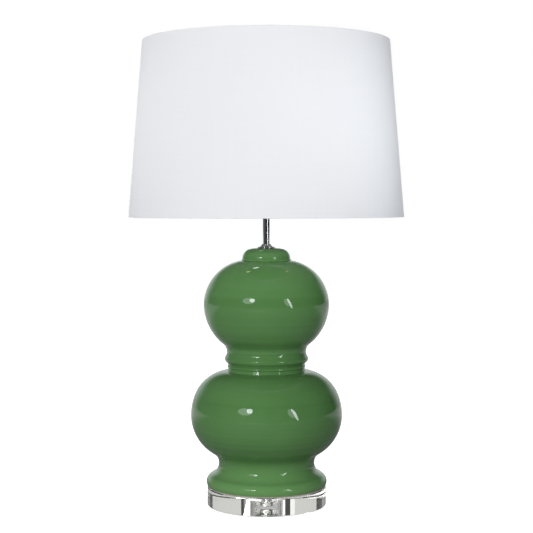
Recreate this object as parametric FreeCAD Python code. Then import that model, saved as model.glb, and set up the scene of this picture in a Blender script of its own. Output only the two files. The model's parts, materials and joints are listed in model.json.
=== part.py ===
"""Double gourd table lamp: a glazed ceramic body on a clear round base, with a lamp tube,
a switched E27 lampholder, a globe bulb and a tapered drum shade held between two shade rings.

Millimetres, +Z up, the lamp's axis on Z, the front towards -Y, the origin on the floor under the axis.
"""
import math
import os

import FreeCAD
import Part

V = FreeCAD.Vector
UP = V(0, 0, 1)

# Clear base: a polished disc with a recess below for the nut, on four round pads
pad_radius = 6.0
pad_height = 1.5
pad_circle_radius = 68.0
pad_count = 4
base_radius = 87.0
base_thickness = 26.5
base_bevel = 1.0
recess_radius = 17.0
recess_depth = 11.0

# Lamp tube and the fasteners that clamp the stand together
tube_radius = 5.0
tube_bore_radius = 4.0
tube_hole_clearance = 0.4
thread_gap = 0.05
washer_radius = 14.0
washer_thickness = 1.5
spring_washer_radius = 9.0
spring_washer_thickness = 2.0
spring_washer_slot = 2.0
nut_across_flats = 17.0
nut_height = 5.0
tube_stub = 1.0
tube_port_radius = 3.0
tube_port_height = 60.0

# Foot gasket between the clear base and the ceramic
gasket_thickness = 0.5
gasket_inset = 1.0
gasket_width = 10.0

# Ceramic body: radii are of the outside, and each rise is counted from the feature below it
wall = 6.0
foot_radius = 88.2
foot_round = 11.7
foot_widest_height = 7.3
foot_ring_width = 12.0
ankle_radius = 70.1
ankle_height = 34.2
ankle_curve = 18.2
lower_radius = 111.0
lower_height = 105.3
lower_shoulder_curve = 78.4
lower_shoulder_turn = 23.2
lower_top_curve = 55.7
small_bead_inset = 1.2
small_bead_curve = 2.6
small_bead_rise = 6.8
small_bead_half_angle = 60.0
large_bead_proud = 2.8
large_bead_curve = 5.4
large_bead_rise = 10.8
large_bead_start_angle = -70.0
waist_radius = 58.6
waist_rise = 11.2
waist_curve = 13.2
upper_radius = 91.5
upper_rise = 67.7
upper_top_curve = 66.0
collar_radius = 34.4
collar_flare = 2.2
collar_round = 8.0
collar_height = 18.1
neck_hole_radius = 8.0

# Cable outlet at the back of the foot: a rubber grommet in a drilled hole
outlet_height = 8.0
outlet_hole_radius = 5.0
grommet_bore_radius = 3.6
grommet_lip_radius = 6.5
grommet_lip = 1.5

# Neck: a rubber bush in the ceramic's hole and a tapped metal cap on top
bush_flange_radius = 10.0
bush_flange = 1.0
bush_length = 7.0
bush_gap = 0.3
cap_radius = 12.8
cap_rim = 1.6
cap_cone_radius = 7.4
cap_height = 5.6

# Lampholder: a cap with the switch, an insulator, a threaded shell and the contacts
neck_length = 56.4
tube_engagement = 10.0
holder_radius = 19.6
holder_wall = 1.8
holder_boss_radius = 7.5
holder_boss_height = 6.0
holder_dome_height = 8.0
holder_cap_height = 28.0
holder_shell_height = 44.0
ledge_width = 2.4
ledge_height = 2.0
thread_pitch = 2.5
thread_depth = 0.5
thread_start = 6.0
thread_end = 5.0
shell_lip_radius = 15.0
shell_lip = 1.5
insulator_thickness = 10.0
insulator_gap = 0.3
socket_inner_radius = 13.5
socket_wall = 0.5
socket_height = 24.0
socket_sink = 3.0
lock_screw_radius = 1.5
terminal_screw_radius = 1.6
terminal_screw_length = 6.0
terminal_offset = 10.0
contact_width = 5.0
contact_thickness = 0.5
contact_rise = 2.7

# Push-through switch bar in the lampholder's cap
bar_height = 20.0
bar_radius = 2.4
bar_hole_gap = 0.3
button_radius = 4.0
button_length = 5.0
bar_travel = 5.0
bar_face_gap = 0.3
blade_thickness = 0.6
blade_length = 9.0
sleeve_radius = 3.4
sleeve_length = 4.0

# Shade rings on the lampholder's thread and the shade's fitter between them
ring_gap = 0.3
ring_radius = 27.0
ring_flange = 2.5
ring_hub_radius = 23.6
ring_hub = 5.0
ring_scallops = 18
ring_scallop_radius = 2.0
lower_ring_rise = 12.0
fitter_thickness = 1.5
fitter_overhang = 3.0
fitter_face_gap = 0.3
arm_count = 3
arm_radius = 1.75
arm_start_gap = 0.4
arm_level = 12.0
arm_bend = 14.0

# Shade: a tapered drum of fabric on a stiff liner, with a wire ring in each hem
fitter_drop = 64.3
shade_height = 253.0
shade_bottom_radius = 200.0
shade_top_radius = 179.0
fabric_thickness = 0.5
liner_thickness = 0.8
wire_radius = 1.75
wire_gap = 0.2
hem_thickness = 0.5
hem_drop = 11.0

# Bulb: E27 cap, plastic housing, light board and opal dome
bulb_seat_gap = 0.3
tip_radius = 5.0
tip_height = 0.8
glass_ring_height = 4.2
bulb_cap_radius = 13.1
bulb_cap_height = 22.0
bulb_cap_wall = 0.5
bulb_pitch = 3.6
bulb_thread_depth = 0.7
bulb_thread_count = 5
housing_foot_radius = 14.2
housing_neck = 9.0
globe_radius = 30.0
globe_height = 80.0
dome_split_height = 65.0
dome_wall = 1.2
housing_wall = 1.5
board_thickness = 1.6
board_gap = 0.3
chip_count = 12
chip_size = 2.8
chip_height = 0.8
chip_circle_radius = 15.0


def on_circle(centre, radius, degrees):
    """A point of a circle in the section, as radius and height."""
    turn = math.radians(degrees)
    return centre[0] + radius * math.cos(turn), centre[1] + radius * math.sin(turn)


def between(centre_a, radius_a, centre_b, radius_b):
    """Where two circles of the section touch from outside."""
    share = radius_a / (radius_a + radius_b)
    return tuple(a + (b - a) * share for a, b in zip(centre_a, centre_b))


def facing_curve(width, height, other_curve):
    """Radius of the curve that makes an S of this width and height with another curve."""
    return (width ** 2 + height ** 2) / (2 * width) - other_curve


def height_at(centre, curve, radius):
    """Height at which a circle of the section reaches a radius, on its upper half."""
    return centre[1] + math.sqrt(curve ** 2 - (radius - centre[0]) ** 2)


def ceramic_curves():
    """Centres and radii of the body's main curves, as (radius, height) and curve, from the foot up."""
    foot_curve = facing_curve(foot_radius - ankle_radius, ankle_height - foot_widest_height, ankle_curve)
    under_curve = facing_curve(lower_radius - ankle_radius, lower_height - ankle_height, ankle_curve)
    rise_curve = facing_curve(upper_radius - waist_radius, upper_rise, waist_curve)
    shoulder_centre = (lower_radius - lower_shoulder_curve, foot_z + lower_height)
    turn = on_circle(shoulder_centre, lower_shoulder_curve, lower_shoulder_turn)
    top = (on_circle(turn, -lower_top_curve, lower_shoulder_turn), lower_top_curve)
    small_bead_z = height_at(*top, waist_foot_radius) + small_bead_rise
    large_bead_z = small_bead_z + large_bead_rise
    waist_z = large_bead_z + waist_rise
    upper_z = waist_z + upper_rise
    return {
        "foot": ((foot_radius - foot_curve, foot_z + foot_widest_height), foot_curve),
        "ankle": ((ankle_radius + ankle_curve, foot_z + ankle_height), ankle_curve),
        "under": ((lower_radius - under_curve, foot_z + lower_height), under_curve),
        "shoulder": (shoulder_centre, lower_shoulder_curve),
        "top": top,
        "small_bead": ((waist_foot_radius - small_bead_curve, small_bead_z), small_bead_curve),
        "large_bead": ((large_bead_radius - large_bead_curve, large_bead_z), large_bead_curve),
        "waist": ((waist_radius + waist_curve, waist_z), waist_curve),
        "rise": ((upper_radius - rise_curve, upper_z), rise_curve),
        "crown": ((upper_radius - upper_top_curve, upper_z), upper_top_curve),
    }


# Levels that follow from the stack of parts
base_top = pad_height + base_thickness
foot_z = base_top + gasket_thickness
waist_foot_radius = waist_radius - small_bead_inset
large_bead_radius = waist_radius + large_bead_proud
collar_foot_radius = collar_radius + collar_flare
body_curves = ceramic_curves()
collar_top = height_at(*body_curves["crown"], collar_foot_radius) + collar_height
recess_top = pad_height + recess_depth
washer_z = recess_top - washer_thickness
spring_washer_z = washer_z - spring_washer_thickness
nut_z = spring_washer_z - nut_height
tube_bottom = nut_z - tube_stub
cap_z = collar_top + bush_flange
holder_z = collar_top + cap_height + neck_length
tube_top = holder_z + tube_engagement
shell_z = holder_z + holder_cap_height
shell_top = shell_z + holder_shell_height
insulator_z = shell_z - ledge_height + ledge_height / 2
insulator_top = insulator_z + insulator_thickness
socket_z = insulator_top - socket_sink
bar_z = holder_z + bar_height
lower_ring_z = shell_z + lower_ring_rise
fitter_z = lower_ring_z + ring_hub + ring_flange + fitter_face_gap
upper_ring_z = fitter_z + fitter_thickness + fitter_face_gap
fitter_radius = ring_radius + fitter_overhang
bulb_z = insulator_top - socket_sink + contact_rise + contact_thickness + bulb_seat_gap
shade_bottom = fitter_z - fitter_drop
shade_top = shade_bottom + shade_height


class Outline:
    """A half section in the XZ plane, drawn from point to point and spun about Z."""

    def __init__(self, radius, z):
        self.first = self.at = V(radius, 0, z)
        self.edges = []

    def line(self, radius, z):
        """A straight stretch to a point; a stretch of no length is left out."""
        end = V(radius, 0, z)
        if end.distanceToPoint(self.at) > 1e-6:
            self.edges.append(Part.LineSegment(self.at, end).toShape())
            self.at = end
        return self

    def arc(self, centre_radius, centre_z, radius, z):
        """A round stretch about a centre, the short way, to a point."""
        centre = V(centre_radius, 0, centre_z)
        end = V(radius, 0, z)
        middle = (self.at - centre) + (end - centre)
        middle = centre + middle.normalize() * self.at.distanceToPoint(centre)
        self.edges.append(Part.Arc(self.at, middle, end).toShape())
        self.at = end
        return self

    def spin(self):
        """Closes the section and turns it through a full circle."""
        self.line(self.first.x, self.first.z)
        face = Part.Face(Part.Wire(self.edges))
        return face.revolve(V(0, 0, 0), UP, 360)


def ring(outer, inner, bottom, height):
    """A plain ring or a tube on the lamp's axis."""
    return Part.makeCylinder(outer, height, V(0, 0, bottom)).cut(
        Part.makeCylinder(inner, height, V(0, 0, bottom)))


def disc(radius, bottom, height):
    """A plain disc on the lamp's axis."""
    return Part.makeCylinder(radius, height, V(0, 0, bottom))


def box(low, high):
    """A block between two corners."""
    return Part.makeBox(high[0] - low[0], high[1] - low[1], high[2] - low[2], V(*low))


def around(shape, count, start=0.0):
    """Copies of a shape, evenly turned about the lamp's axis."""
    copies = []
    for step in range(count):
        copy = shape.copy()
        copy.rotate(V(0, 0, 0), UP, start + 360.0 * step / count)
        copies.append(copy)
    return copies


def make_base():
    """Clear disc, bevelled at both edges, bored for the tube and recessed below."""
    tube_hole = tube_radius + tube_hole_clearance
    return (Outline(recess_radius, pad_height)
            .line(base_radius - base_bevel, pad_height)
            .line(base_radius, pad_height + base_bevel)
            .line(base_radius, base_top - base_bevel)
            .line(base_radius - base_bevel, base_top)
            .line(tube_hole, base_top)
            .line(tube_hole, recess_top)
            .line(recess_radius, recess_top)
            .spin())


def make_pads():
    """Round pads under the disc."""
    pad = Part.makeCylinder(pad_radius, pad_height, V(pad_circle_radius, 0, 0))
    top_edges = [edge for edge in pad.Edges if edge.Closed and edge.BoundBox.ZMax < pad_height / 2]
    pad = pad.makeFillet(pad_height / 3, top_edges)
    return Part.makeCompound(around(pad, pad_count, 180.0 / pad_count))


def make_spring_washer():
    """Split washer: a ring with a slanted gap."""
    body = ring(spring_washer_radius, tube_radius + tube_hole_clearance,
                spring_washer_z, spring_washer_thickness)
    slot = box((0, -spring_washer_slot / 2, spring_washer_z - 1),
               (spring_washer_radius + 1, spring_washer_slot / 2, washer_z + 1))
    slot.rotate(V(0, 0, washer_z), V(1, 0, 0), 25)
    return body.cut(slot)


def make_nut():
    """Hexagon nut with turned-off corners."""
    corner = nut_across_flats / math.sqrt(3)
    points = [V(corner * math.cos(math.radians(60 * side)),
                corner * math.sin(math.radians(60 * side)), nut_z) for side in range(7)]
    hexagon = Part.Face(Part.makePolygon(points)).extrude(V(0, 0, nut_height))
    half = nut_across_flats / 2
    slope = corner - half
    turned = (Outline(0, nut_z).line(half, nut_z).line(corner, nut_z + slope)
              .line(corner, nut_z + nut_height - slope).line(half, nut_z + nut_height)
              .line(0, nut_z + nut_height).spin())
    return hexagon.common(turned).cut(disc(tube_radius + thread_gap, nut_z, nut_height))


def foot_edge():
    """Outer radius of the ceramic's footprint."""
    return foot_radius - foot_round + math.sqrt(foot_round ** 2 - foot_widest_height ** 2)


def make_gasket():
    """Thin ring that the ceramic foot stands on."""
    outer = foot_edge() - gasket_inset
    return ring(outer, outer - gasket_width, base_top, gasket_thickness)


def make_tube():
    """Lamp tube from the nut up into the lampholder, with a port for the cable inside the body."""
    tube = ring(tube_radius, tube_bore_radius, tube_bottom, tube_top - tube_bottom)
    port_centre = V(0, 0, foot_z + tube_port_height)
    return tube.cut(Part.makeCylinder(tube_port_radius, 2 * tube_radius, port_centre, V(0, 1, 0)))


def ceramic_outside():
    """The turned outside of the body, from the foot's edge to the collar."""
    curves = body_curves
    low_centre = (foot_radius - foot_round, foot_z + foot_widest_height)
    shape = Outline(foot_edge(), foot_z).arc(*low_centre, foot_radius, low_centre[1])

    foot, ankle, under = curves["foot"], curves["ankle"], curves["under"]
    shape.arc(*foot[0], *between(*foot, *ankle))
    shape.arc(*ankle[0], ankle_radius, ankle[0][1])
    shape.arc(*ankle[0], *between(*ankle, *under))
    shape.arc(*under[0], lower_radius, under[0][1])

    shoulder, top = curves["shoulder"], curves["top"]
    shape.arc(*shoulder[0], *on_circle(*shoulder, lower_shoulder_turn))
    shape.arc(*top[0], waist_foot_radius, height_at(*top, waist_foot_radius))

    small, large, waist, rise = (curves[name] for name in ("small_bead", "large_bead", "waist", "rise"))
    shape.line(*on_circle(*small, -small_bead_half_angle))
    shape.arc(*small[0], *on_circle(*small, small_bead_half_angle))
    shape.line(*on_circle(*large, large_bead_start_angle))
    shape.arc(*large[0], *between(*large, *waist))
    shape.arc(*waist[0], waist_radius, waist[0][1])
    shape.arc(*waist[0], *between(*waist, *rise))
    shape.arc(*rise[0], upper_radius, rise[0][1])

    crown = curves["crown"]
    shape.arc(*crown[0], collar_foot_radius, height_at(*crown, collar_foot_radius))
    shape.line(collar_radius, collar_top - collar_round)
    shape.arc(collar_radius - collar_round, collar_top - collar_round,
              collar_radius - collar_round, collar_top)
    return shape.line(0, collar_top).line(0, foot_z).spin()


def ceramic_inside():
    """The hollow, one wall in from the main curves."""
    curves = body_curves
    inner_ankle = ankle_radius - wall
    inner_waist = waist_foot_radius - wall
    inner_neck = collar_radius - wall
    ankle, under, shoulder, top = (curves[name] for name in ("ankle", "under", "shoulder", "top"))
    rise, crown = curves["rise"], curves["crown"]
    thicker_ankle = (ankle[0], ankle[1] + wall)
    inner_under = (under[0], under[1] - wall)
    inner_top = (top[0], top[1] - wall)
    inner_rise = (rise[0], rise[1] - wall)
    inner_crown = (crown[0], crown[1] - wall)
    rise_drop = math.sqrt(inner_rise[1] ** 2 - (inner_waist - inner_rise[0][0]) ** 2)

    mouth = foot_edge() - foot_ring_width
    mouth_rise = math.sqrt(thicker_ankle[1] ** 2 - (mouth - ankle[0][0]) ** 2)
    shape = Outline(0, foot_z).line(mouth, foot_z).line(mouth, ankle[0][1] - mouth_rise)
    shape.arc(*ankle[0], inner_ankle, ankle[0][1])
    shape.arc(*ankle[0], *between(*thicker_ankle, *inner_under))
    shape.arc(*under[0], lower_radius - wall, under[0][1])
    shape.arc(*shoulder[0], *on_circle(shoulder[0], shoulder[1] - wall, lower_shoulder_turn))
    shape.arc(*top[0], inner_waist, height_at(*inner_top, inner_waist))
    shape.line(inner_waist, rise[0][1] - rise_drop)
    shape.arc(*rise[0], upper_radius - wall, rise[0][1])
    shape.arc(*crown[0], inner_neck, height_at(*inner_crown, inner_neck))
    return shape.line(inner_neck, collar_top - wall).line(0, collar_top - wall).spin()


def make_ceramic():
    """Hollow double gourd body with its neck hole and the drilled cable outlet."""
    body = ceramic_outside().cut(ceramic_inside())
    body = body.cut(disc(neck_hole_radius, collar_top - 2 * wall, 3 * wall))
    drill = Part.makeCylinder(outlet_hole_radius, foot_radius, V(0, 0, foot_z + outlet_height), V(0, 1, 0))
    return body.cut(drill)


def make_grommet():
    """Rubber grommet, lipped inside and outside the foot's wall."""
    inner_face = foot_edge() - foot_ring_width
    start = inner_face - grommet_lip
    length = foot_radius + grommet_lip - start

    def barrel(radius, reach):
        return Part.makeCylinder(radius, reach, V(0, start, foot_z + outlet_height), V(0, 1, 0))

    plug = barrel(outlet_hole_radius, length)
    outer_lip = barrel(grommet_lip_radius, length).cut(ceramic_outside())
    inner_lip = barrel(grommet_lip_radius, grommet_lip).common(ceramic_inside())
    plug = plug.fuse(outer_lip).fuse(inner_lip)
    return plug.cut(barrel(grommet_bore_radius, length)).removeSplitter()


def make_bush():
    """Flanged rubber bush that centres the tube in the ceramic's neck."""
    tube_hole = tube_radius + thread_gap
    sleeve_radius_out = neck_hole_radius - thread_gap
    return (Outline(tube_hole, collar_top - bush_length)
            .line(sleeve_radius_out, collar_top - bush_length)
            .line(sleeve_radius_out, collar_top)
            .line(bush_flange_radius, collar_top)
            .line(bush_flange_radius, cap_z)
            .line(tube_hole, cap_z)
            .spin())


def make_neck_cap():
    """Turned metal cap, tapped for the tube, hollow below to hide the bush."""
    return (Outline(tube_radius + thread_gap, cap_z)
            .line(bush_flange_radius + bush_gap, cap_z)
            .line(bush_flange_radius + bush_gap, collar_top)
            .line(cap_radius, collar_top)
            .line(cap_radius, collar_top + cap_rim)
            .line(cap_radius - cap_rim, collar_top + cap_rim)
            .line(cap_cone_radius, collar_top + cap_height - cap_rim)
            .line(cap_cone_radius, collar_top + cap_height)
            .line(tube_radius + thread_gap, collar_top + cap_height)
            .spin())


def make_holder_cap():
    """Lampholder's lower half: the tapped boss, a dome and a straight skirt with a ledge."""
    inner = holder_radius - holder_wall
    dome_z = holder_z + holder_boss_height
    skirt_z = dome_z + holder_dome_height
    ledge_z = shell_z - ledge_height
    dome_inner_z = tube_top + holder_wall
    cap = (Outline(tube_radius + thread_gap, holder_z)
           .line(holder_boss_radius, holder_z)
           .line(holder_boss_radius, dome_z)
           .line(holder_radius, skirt_z)
           .line(holder_radius, shell_z)
           .line(inner, shell_z)
           .line(inner, insulator_z)
           .line(inner - ledge_width, insulator_z)
           .line(inner - ledge_width, ledge_z)
           .line(inner, ledge_z)
           .line(inner, skirt_z)
           .line(holder_boss_radius + holder_wall, dome_inner_z)
           .line(tube_radius + thread_gap, dome_inner_z)
           .spin())
    through = 3 * holder_radius
    bar_hole = Part.makeCylinder(bar_radius + bar_hole_gap, through, V(-through / 2, 0, bar_z), V(1, 0, 0))
    screw_hole = lock_screw_shape(thread_gap)
    return cap.cut(bar_hole).cut(screw_hole)


def lock_screw_shape(extra=0.0):
    """Grub screw that locks the lampholder to its tube, from the back."""
    start = tube_radius + thread_gap
    length = holder_boss_radius - start
    z = holder_z + holder_boss_height / 2
    return Part.makeCylinder(lock_screw_radius + extra, length + 2 * extra,
                             V(0, start - extra, z), V(0, 1, 0))


def make_insulator():
    """Moulded block that carries the contacts, recessed on top for the screw shell."""
    block = disc(holder_radius - holder_wall - insulator_gap, insulator_z, insulator_thickness)
    seat = disc(socket_inner_radius + socket_wall, socket_z, socket_sink)
    block = block.cut(seat)
    for x, y in terminal_places():
        block = block.cut(Part.makeCylinder(terminal_screw_radius, terminal_screw_length,
                                            V(x, y, insulator_z)))
    return block


def terminal_places():
    """The two terminal screws, front and back of the switch bar."""
    return [(0, -terminal_offset), (0, terminal_offset)]


def make_terminal_screws():
    """Terminal screws, sunk in the insulator from below, with slotted heads."""
    screws = []
    for x, y in terminal_places():
        screw = Part.makeCylinder(terminal_screw_radius, terminal_screw_length, V(x, y, insulator_z))
        slot = box((x - terminal_screw_radius, y - contact_thickness / 2, insulator_z),
                   (x + terminal_screw_radius, y + contact_thickness / 2, insulator_z + contact_thickness))
        screws.append(screw.cut(slot))
    return Part.makeCompound(screws)


def make_holder_shell():
    """Lampholder's upper half, threaded outside for the shade rings, lipped at the mouth."""
    inner = holder_radius - holder_wall
    shell = Outline(inner, shell_z).line(holder_radius, shell_z)
    for turn in range(int((holder_shell_height - thread_start - thread_end) / thread_pitch)):
        z = shell_z + thread_start + turn * thread_pitch
        shell.line(holder_radius, z).line(holder_radius - thread_depth, z + thread_pitch / 4)
        shell.line(holder_radius - thread_depth, z + thread_pitch / 2)
        shell.line(holder_radius, z + 3 * thread_pitch / 4)
    return (shell.line(holder_radius, shell_top)
            .line(shell_lip_radius, shell_top)
            .line(shell_lip_radius, shell_top - shell_lip)
            .line(inner, shell_top - shell_lip)
            .spin())


def make_screw_shell():
    """Metal shell that takes the bulb's thread, standing in the insulator's recess."""
    return ring(socket_inner_radius + socket_wall, socket_inner_radius, socket_z, socket_height)


def make_centre_contact():
    """Sprung tongue under the bulb's tip."""
    foot = contact_width
    low, high = socket_z, socket_z + contact_rise
    under = [(-foot, low), (-foot / 2, low), (0, high), (foot / 2, high)]
    over = [(x - contact_thickness * (x <= 0), z + contact_thickness) for x, z in under[:0:-1]]
    points = under + over + [(-foot, low + contact_thickness), under[0]]
    wire = Part.makePolygon([V(x, -contact_width / 2, z) for x, z in points])
    return Part.Face(wire).extrude(V(0, contact_width, 0))


def make_switch_blades():
    """Two brass blades hanging from the insulator, one each side of the switch bar."""
    blades = []
    reach = sleeve_radius + bar_face_gap
    for side in (-1, 1):
        y = sorted((side * reach, side * (reach + blade_thickness)))
        blades.append(box((-sleeve_length / 2, y[0], insulator_z - blade_length),
                          (sleeve_length / 2, y[1], insulator_z)))
    return Part.makeCompound(blades)


def make_switch_bar():
    """Push-through bar with a button at each end, resting with its right button out."""
    face = holder_radius + bar_face_gap
    left = -face
    right = face + bar_travel
    rod = Part.makeCylinder(bar_radius, right - left, V(left, 0, bar_z), V(1, 0, 0))
    buttons = []
    for start in (left - button_length, right):
        button = Part.makeCylinder(button_radius, button_length, V(start, 0, bar_z), V(1, 0, 0))
        outer_x = left - button_length if start < 0 else right + button_length
        rim = [edge for edge in button.Edges if edge.Closed and abs(edge.CenterOfMass.x - outer_x) < 1e-3]
        buttons.append(button.makeFillet(button_radius / 4, rim))
    return rod.fuse(buttons[0]).fuse(buttons[1]).removeSplitter()


def make_switch_sleeve():
    """Brass sleeve on the bar that bridges the blades when the bar is pushed through."""
    start = bar_travel - sleeve_length / 2
    sleeve = Part.makeCylinder(sleeve_radius, sleeve_length, V(start, 0, bar_z), V(1, 0, 0))
    return sleeve.cut(Part.makeCylinder(bar_radius, sleeve_length, V(start, 0, bar_z), V(1, 0, 0)))


def make_shade_ring(flange_low):
    """Moulded ring nut on the lampholder's thread: a flange and a scalloped hub."""
    bore = holder_radius + ring_gap
    flange_z, hub_z = (0, ring_flange) if flange_low else (ring_hub, 0)
    flange = ring(ring_radius, bore, flange_z, ring_flange)
    hub = ring(ring_hub_radius, bore, hub_z, ring_hub)
    scallop = Part.makeCylinder(ring_scallop_radius, ring_hub,
                                V(ring_hub_radius + ring_scallop_radius / 2, 0, hub_z))
    hub = hub.cut(Part.makeCompound(around(scallop, ring_scallops)))
    return flange.fuse(hub).removeSplitter()


def make_lower_ring():
    """Ring that the shade's fitter rests on."""
    shape = make_shade_ring(False)
    shape.translate(V(0, 0, lower_ring_z))
    return shape


def make_upper_ring():
    """Ring that clamps the shade's fitter from above."""
    shape = make_shade_ring(True)
    shape.translate(V(0, 0, upper_ring_z))
    return shape


def shade_radius(z, inset=0.0):
    """Radius of the shade's wall at a height, measured an inset inside the fabric's face."""
    share = (z - shade_bottom) / shade_height
    return shade_bottom_radius + (shade_top_radius - shade_bottom_radius) * share - inset


def make_wall(outer_inset, thickness):
    """A tapered skin of the shade, full height."""
    inner_inset = outer_inset + thickness
    return (Outline(shade_radius(shade_bottom, outer_inset), shade_bottom)
            .line(shade_radius(shade_top, outer_inset), shade_top)
            .line(shade_radius(shade_top, inner_inset), shade_top)
            .line(shade_radius(shade_bottom, inner_inset), shade_bottom)
            .spin())


def wire_place(top):
    """Radius and height of a hem wire's centre line."""
    skin = fabric_thickness + liner_thickness
    step = wire_radius + wire_gap
    z = shade_top - step if top else shade_bottom + step
    return shade_radius(z, skin + step), z


def make_hem_wire(top):
    """Wire ring inside a hem."""
    radius, z = wire_place(top)
    return Part.makeTorus(radius, wire_radius, V(0, 0, z))


def make_hem(top):
    """Turned edge of the fabric: over the wall's edge, round the wire and back to the liner."""
    skin = fabric_thickness + liner_thickness
    pocket = skin + 2 * (wire_radius + wire_gap)
    way = -1 if top else 1
    edge = shade_top if top else shade_bottom
    level = edge + way * 2 * (wire_radius + wire_gap)
    end = edge + way * hem_drop
    lip = edge - way * hem_thickness
    return (Outline(shade_radius(edge), edge)
            .line(shade_radius(edge), lip)
            .line(shade_radius(edge, pocket + hem_thickness), lip)
            .line(shade_radius(level, pocket + hem_thickness), level)
            .line(shade_radius(end, skin + hem_thickness), end)
            .line(shade_radius(end, skin), end)
            .line(shade_radius(level, pocket), level)
            .line(shade_radius(edge, pocket), edge)
            .spin())


def make_fitter_ring():
    """Flat ring between the two shade rings."""
    return ring(fitter_radius, holder_radius + ring_gap, fitter_z, fitter_thickness)


def make_fitter_arms():
    """Wire arms from the fitter ring down to the lower hem wire, coped to both."""
    wire_r, wire_z = wire_place(False)
    start_z = fitter_z + fitter_thickness / 2
    start = V(ring_radius + arm_start_gap, 0, start_z)
    knee = V(fitter_radius + arm_level, 0, start_z)
    end = V(wire_r, 0, wire_z)
    slope = (end - knee).normalize()
    turn = math.acos(slope.x)
    setback = arm_bend * math.tan(turn / 2)
    first = knee - V(setback, 0, 0)
    last = knee + slope * setback
    centre = first - V(0, 0, arm_bend)
    middle = centre + ((first + last) * 0.5 - centre).normalize() * arm_bend
    path = Part.Wire([Part.LineSegment(start, first).toShape(),
                      Part.Arc(first, middle, last).toShape(),
                      Part.LineSegment(last, end).toShape()])
    circle = Part.Wire(Part.makeCircle(arm_radius, start, V(1, 0, 0)))
    arm = path.makePipeShell([circle], True, False)
    arm = arm.cut(make_fitter_ring()).cut(make_hem_wire(False)).cut(make_hem(False))
    arm = max(arm.Solids, key=lambda solid: solid.Volume)
    return around(arm, arm_count, 90)


def make_bulb_tip():
    """Solder tip of the bulb."""
    return disc(tip_radius, bulb_z, tip_height)


def make_bulb_insulator():
    """Black ring of glass between the tip and the screw cap."""
    bottom = bulb_z + tip_height
    top = bottom + glass_ring_height
    return (Outline(0, bottom).line(tip_radius, bottom)
            .line(bulb_cap_radius - 2 * bulb_thread_depth, top).line(0, top).spin())


def make_bulb_cap():
    """Screw cap with rounded ridges and a plain skirt."""
    bottom = bulb_z + tip_height + glass_ring_height
    top = bottom + bulb_cap_height
    root = bulb_cap_radius - bulb_thread_depth
    cap = Outline(root - bulb_cap_wall, bottom).line(root, bottom)
    for turn in range(bulb_thread_count):
        z = bottom + turn * bulb_pitch
        cap.line(root, z).line(bulb_cap_radius, z + bulb_pitch / 4)
        cap.line(bulb_cap_radius, z + bulb_pitch / 2).line(root, z + 3 * bulb_pitch / 4)
    return (cap.line(root, top - bulb_cap_wall).line(bulb_cap_radius, top)
            .line(root - bulb_cap_wall, top).spin())


def globe_centre():
    """Centre of the bulb's globe, in the section."""
    return 0.0, bulb_z + globe_height


def globe_at(z, inset=0.0):
    """Radius of the globe at a height, an inset inside its face."""
    return math.sqrt((globe_radius - inset) ** 2 - (z - globe_centre()[1]) ** 2)


def make_bulb_housing():
    """White plastic cone between the screw cap and the dome."""
    bottom = bulb_z + tip_height + glass_ring_height + bulb_cap_height
    split = bulb_z + dome_split_height
    seat = split - board_thickness
    neck = bulb_cap_radius - bulb_thread_depth - bulb_cap_wall - thread_gap
    return (Outline(neck, bottom - housing_wall)
            .line(neck, bottom)
            .line(housing_foot_radius, bottom)
            .line(housing_foot_radius, bottom + housing_neck)
            .line(globe_at(split), split)
            .line(globe_at(split, dome_wall + board_gap), split)
            .line(globe_at(split, dome_wall + board_gap), seat)
            .line(globe_at(split, dome_wall + housing_wall), seat)
            .line(housing_foot_radius - housing_wall, bottom + housing_neck)
            .line(housing_foot_radius - housing_wall, bottom + housing_wall)
            .line(neck - housing_wall, bottom - housing_wall)
            .spin())


def make_light_board():
    """Aluminium disc in the housing's mouth with a circle of light chips."""
    split = bulb_z + dome_split_height
    board = disc(globe_at(split, dome_wall + 2 * board_gap), split - board_thickness, board_thickness)
    chip = box((chip_circle_radius - chip_size / 2, -chip_size / 2, split),
               (chip_circle_radius + chip_size / 2, chip_size / 2, split + chip_height))
    for place in around(chip, chip_count):
        board = board.fuse(place)
    return board.removeSplitter()


def make_bulb_dome():
    """Opal dome of the bulb."""
    centre = globe_centre()
    split = bulb_z + dome_split_height
    inner = globe_radius - dome_wall
    return (Outline(globe_at(split), split)
            .arc(*centre, globe_radius, centre[1])
            .arc(*centre, 0, centre[1] + globe_radius)
            .line(0, centre[1] + inner)
            .arc(*centre, inner, centre[1])
            .arc(*centre, globe_at(split, dome_wall), split)
            .spin())


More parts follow.
